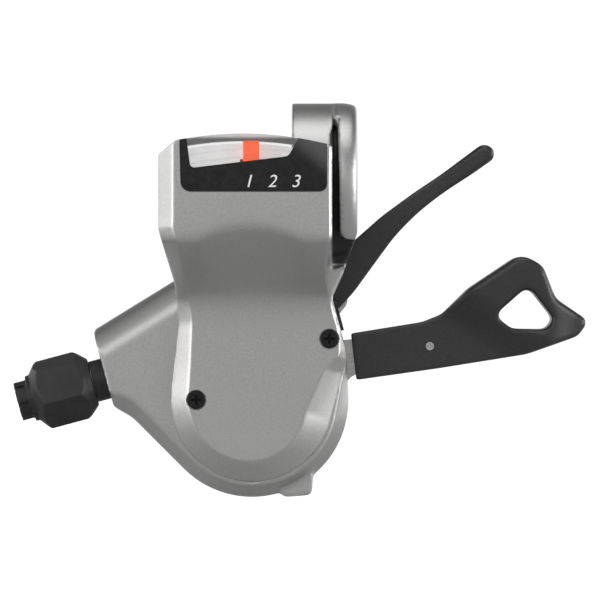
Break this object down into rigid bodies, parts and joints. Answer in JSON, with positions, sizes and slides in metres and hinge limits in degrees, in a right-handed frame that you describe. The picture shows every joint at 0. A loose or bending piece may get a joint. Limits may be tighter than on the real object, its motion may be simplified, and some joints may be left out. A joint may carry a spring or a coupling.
{
  "type": "thumb shifter",
  "caption": "Left-hand flat-bar trigger shifter with a handlebar clamp, gear window, thumb lever, release lever and barrel adjuster.",
  "frame": {"origin": "centre of the handlebar clamp, on the bar axis in the middle of the band's width", "axes": "+X along the handlebar, outboard, towards the two levers; +Z from the mechanism up to the clamp; the gear window faces -Y"},
  "size_m": [0.104, 0.0433, 0.0713],
  "materials": {
    "silver_paint": "satin silver paint on a cast body",
    "black_screw": "blackened steel",
    "bezel_black": "satin black",
    "clear_lens": "clear",
    "dial_white": "matt white",
    "black_plastic": "fine-grained black",
    "drum_plastic": "moulded grey",
    "needle_orange": "bright orange",
    "steel": "plated steel",
    "spring_steel": "drawn wire",
    "bronze_bush": "sintered bronze",
    "stud_alloy": "machined"
  },
  "bodies": {
    "shifter_body": {"adjuster_spring": "spring_steel", "axle_nut": "steel", "cable_port_plug": "black_plastic", "clamp_bolt": "black_screw", "clamp_bracket": "silver_paint", "cover_screws": "black_screw", "drum_bush": "bronze_bush", "drum_spring": "spring_steel", "front_plate": "steel", "holding_pawl_pin": "steel", "indicator_bezel": "bezel_black", "indicator_dial": "dial_white", "indicator_lens": "clear_lens", "indicator_pivot": "steel", "indicator_tray": "black_plastic", "lever_sleeve": "steel", "lever_washers": "steel", "lower_cover": "black_plastic", "lower_cover_screws": "black_screw", "main_lever_spring": "spring_steel", "pivot_axle": "steel", "plate_screws": "steel", "release_lever_spring": "spring_steel", "top_cover": "silver_paint"},
    "drum": {"cable_drum": "drum_plastic", "ratchet_wheel": "steel", "drum_rivets": "steel"},
    "needle": {"indicator_arm": "drum_plastic", "indicator_needle": "needle_orange"},
    "main_lever": {"main_lever_plate": "steel", "main_lever_grip": "black_plastic", "main_lever_pin": "steel", "drive_pawl_pin": "steel"},
    "drive_pawl": {"drive_pawl": "steel"},
    "release_lever": {"release_lever_plate": "steel", "release_lever_grip": "black_plastic"},
    "holding_pawl": {"holding_pawl": "steel"},
    "adjuster_collar": {"adjuster_collar": "black_plastic"},
    "adjuster_barrel": {"adjuster_barrel": "black_plastic", "adjuster_stud": "stud_alloy"}
  },
  "joints": [
    {"name": "main_lever_swing", "type": "hinge", "parent": "shifter_body", "child": "main_lever", "pos_m": [-0.0131, 0.0137, -0.0389], "axis": [0, 1, 0], "range_deg": [0, 38], "stiffness_Nm_per_rad": 0.05, "springref_deg": -17.19},
    {"name": "release_lever_swing", "type": "hinge", "parent": "shifter_body", "child": "release_lever", "pos_m": [-0.0131, 0.0165, -0.0389], "axis": [0, -1, 0], "range_deg": [0, 10], "stiffness_Nm_per_rad": 0.05, "springref_deg": -17.19},
    {"name": "drum_turn", "type": "hinge", "parent": "shifter_body", "child": "drum", "pos_m": [-0.0131, 0.003, -0.0389], "axis": [0, 1, 0], "range_deg": [-25.71, 25.71]},
    {"name": "needle_swing", "type": "hinge", "parent": "shifter_body", "child": "needle", "pos_m": [-0.0131, -0.0027, -0.0181], "axis": [0, 1, 0], "range_deg": [-15, 15]},
    {"name": "drive_pawl_tilt", "type": "hinge", "parent": "main_lever", "child": "drive_pawl", "pos_m": [-0.02524, 0.0064, -0.04456], "axis": [0, -1, 0], "range_deg": [0, 8], "stiffness_Nm_per_rad": 0.001, "springref_deg": -11.46},
    {"name": "holding_pawl_lift", "type": "hinge", "parent": "shifter_body", "child": "holding_pawl", "pos_m": [-0.00625, 0.0064, -0.02601], "axis": [0, -1, 0], "range_deg": [0, 12]},
    {"name": "adjuster_travel", "type": "slide", "parent": "shifter_body", "child": "adjuster_collar", "axis": [-0.9659, 0, -0.2588], "range_m": [0, 0.0032]},
    {"name": "adjuster_turn", "type": "hinge", "parent": "adjuster_collar", "child": "adjuster_barrel", "pos_m": [-0.04726, 0.003, -0.03698], "axis": [-0.9659, 0, -0.2588], "range_deg": [0, 1440]}
  ],
  "couplings": [
    {"joint": "needle_swing", "follows": "drum_turn", "ratio": -0.5778},
    {"joint": "holding_pawl_lift", "follows": "release_lever_swing", "ratio": 1.2},
    {"joint": "adjuster_travel", "follows": "adjuster_turn", "m_per_rad": 0.00012732}
  ]
}
